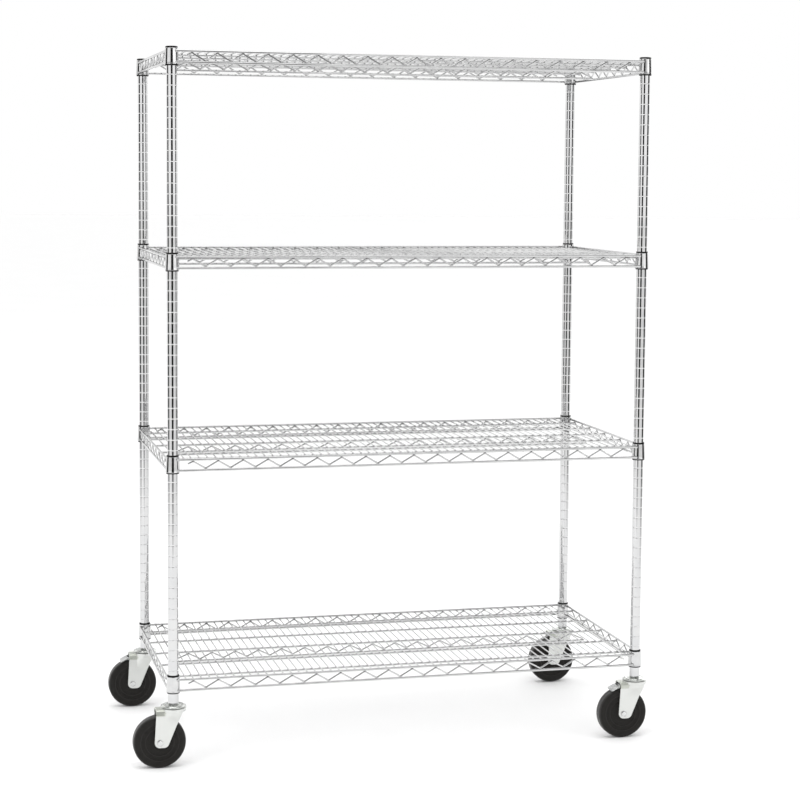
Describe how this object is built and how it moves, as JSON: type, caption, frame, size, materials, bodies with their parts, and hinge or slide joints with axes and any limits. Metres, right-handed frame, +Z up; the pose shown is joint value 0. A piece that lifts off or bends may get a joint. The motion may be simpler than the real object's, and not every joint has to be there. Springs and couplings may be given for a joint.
{
  "type": "wire shelving rack",
  "caption": "Mobile chromed wire shelving rack: truss-edged wire decks on grooved round posts, with swivel stem casters, some with a foot brake.",
  "frame": {"origin": "on the floor, midway between the four wheel axles, which is the middle of the object's footprint box with the casters trailing to -X", "axes": "+Z up; X along the long side; -Y is the front"},
  "size_m": [1.308, 0.635, 1.724],
  "materials": {
    "chromed_wire": "bright chrome plated welded wire",
    "chromed_tube": "bright chrome plated tube",
    "zinc_plate": "bright zinc plated pressed steel",
    "plain_steel": "zinc plated fastener steel",
    "black_cap": "black moulded plastic",
    "black_sleeve": "black moulded plastic",
    "bush": "natural nylon",
    "wheel_tread": "hard black rubber, satin"
  },
  "bodies": {
    "frame": {"shelf_top": "chromed_wire", "shelf_upper": "chromed_wire", "shelf_lower": "chromed_wire", "shelf_bottom": "chromed_wire", "post_front_left": "chromed_tube", "post_cap_front_left": "black_cap", "sleeve_top_front_left": "black_sleeve", "sleeve_upper_front_left": "black_sleeve", "sleeve_lower_front_left": "black_sleeve", "sleeve_bottom_front_left": "black_sleeve", "post_insert_front_left": "plain_steel", "caster_stem_front_left": "zinc_plate", "post_front_right": "chromed_tube", "post_cap_front_right": "black_cap", "sleeve_top_front_right": "black_sleeve", "sleeve_upper_front_right": "black_sleeve", "sleeve_lower_front_right": "black_sleeve", "sleeve_bottom_front_right": "black_sleeve", "post_insert_front_right": "plain_steel", "caster_stem_front_right": "zinc_plate", "post_rear_left": "chromed_tube", "post_cap_rear_left": "black_cap", "sleeve_top_rear_left": "black_sleeve", "sleeve_upper_rear_left": "black_sleeve", "sleeve_lower_rear_left": "black_sleeve", "sleeve_bottom_rear_left": "black_sleeve", "post_insert_rear_left": "plain_steel", "caster_stem_rear_left": "zinc_plate", "post_rear_right": "chromed_tube", "post_cap_rear_right": "black_cap", "sleeve_top_rear_right": "black_sleeve", "sleeve_upper_rear_right": "black_sleeve", "sleeve_lower_rear_right": "black_sleeve", "sleeve_bottom_rear_right": "black_sleeve", "post_insert_rear_right": "plain_steel", "caster_stem_rear_right": "zinc_plate"},
    "swivel_front_left": {"caster_fork_front_left": "zinc_plate", "axle_bush_front_left": "bush", "axle_bolt_front_left": "plain_steel", "axle_nut_front_left": "plain_steel"},
    "wheel_front_left": {"wheel_front_left": "wheel_tread"},
    "swivel_front_right": {"caster_fork_front_right": "zinc_plate", "axle_bush_front_right": "bush", "axle_bolt_front_right": "plain_steel", "axle_nut_front_right": "plain_steel", "brake_pin_front_right": "plain_steel"},
    "wheel_front_right": {"wheel_front_right": "wheel_tread"},
    "pedal_front_right": {"brake_pedal_front_right": "zinc_plate"},
    "swivel_rear_left": {"caster_fork_rear_left": "zinc_plate", "axle_bush_rear_left": "bush", "axle_bolt_rear_left": "plain_steel", "axle_nut_rear_left": "plain_steel", "brake_pin_rear_left": "plain_steel"},
    "wheel_rear_left": {"wheel_rear_left": "wheel_tread"},
    "pedal_rear_left": {"brake_pedal_rear_left": "zinc_plate"},
    "swivel_rear_right": {"caster_fork_rear_right": "zinc_plate", "axle_bush_rear_right": "bush", "axle_bolt_rear_right": "plain_steel", "axle_nut_rear_right": "plain_steel"},
    "wheel_rear_right": {"wheel_rear_right": "wheel_tread"}
  },
  "joints": [
    {"name": "swivel_front_left", "type": "hinge", "parent": "frame", "child": "swivel_front_left", "pos_m": [-0.5561, -0.2885, 0.142], "axis": [0, 0, 1], "continuous": true},
    {"name": "wheel_spin_front_left", "type": "hinge", "parent": "swivel_front_left", "child": "wheel_front_left", "pos_m": [-0.5905, -0.2885, 0.0635], "axis": [0, 1, 0], "continuous": true},
    {"name": "swivel_front_right", "type": "hinge", "parent": "frame", "child": "swivel_front_right", "pos_m": [0.6249, -0.2885, 0.142], "axis": [0, 0, 1], "continuous": true},
    {"name": "wheel_spin_front_right", "type": "hinge", "parent": "swivel_front_right", "child": "wheel_front_right", "pos_m": [0.5905, -0.2885, 0.0635], "axis": [0, 1, 0], "continuous": true},
    {"name": "brake_pedal_front_right", "type": "hinge", "parent": "swivel_front_right", "child": "pedal_front_right", "pos_m": [0.5844, -0.2885, 0.1325], "axis": [0, 1, 0], "range_deg": [-3, 18]},
    {"name": "swivel_rear_left", "type": "hinge", "parent": "frame", "child": "swivel_rear_left", "pos_m": [-0.5561, 0.2885, 0.142], "axis": [0, 0, 1], "continuous": true},
    {"name": "wheel_spin_rear_left", "type": "hinge", "parent": "swivel_rear_left", "child": "wheel_rear_left", "pos_m": [-0.5905, 0.2885, 0.0635], "axis": [0, 1, 0], "continuous": true},
    {"name": "brake_pedal_rear_left", "type": "hinge", "parent": "swivel_rear_left", "child": "pedal_rear_left", "pos_m": [-0.5966, 0.2885, 0.1325], "axis": [0, 1, 0], "range_deg": [-3, 18]},
    {"name": "swivel_rear_right", "type": "hinge", "parent": "frame", "child": "swivel_rear_right", "pos_m": [0.6249, 0.2885, 0.142], "axis": [0, 0, 1], "continuous": true},
    {"name": "wheel_spin_rear_right", "type": "hinge", "parent": "swivel_rear_right", "child": "wheel_rear_right", "pos_m": [0.5905, 0.2885, 0.0635], "axis": [0, 1, 0], "continuous": true}
  ]
}
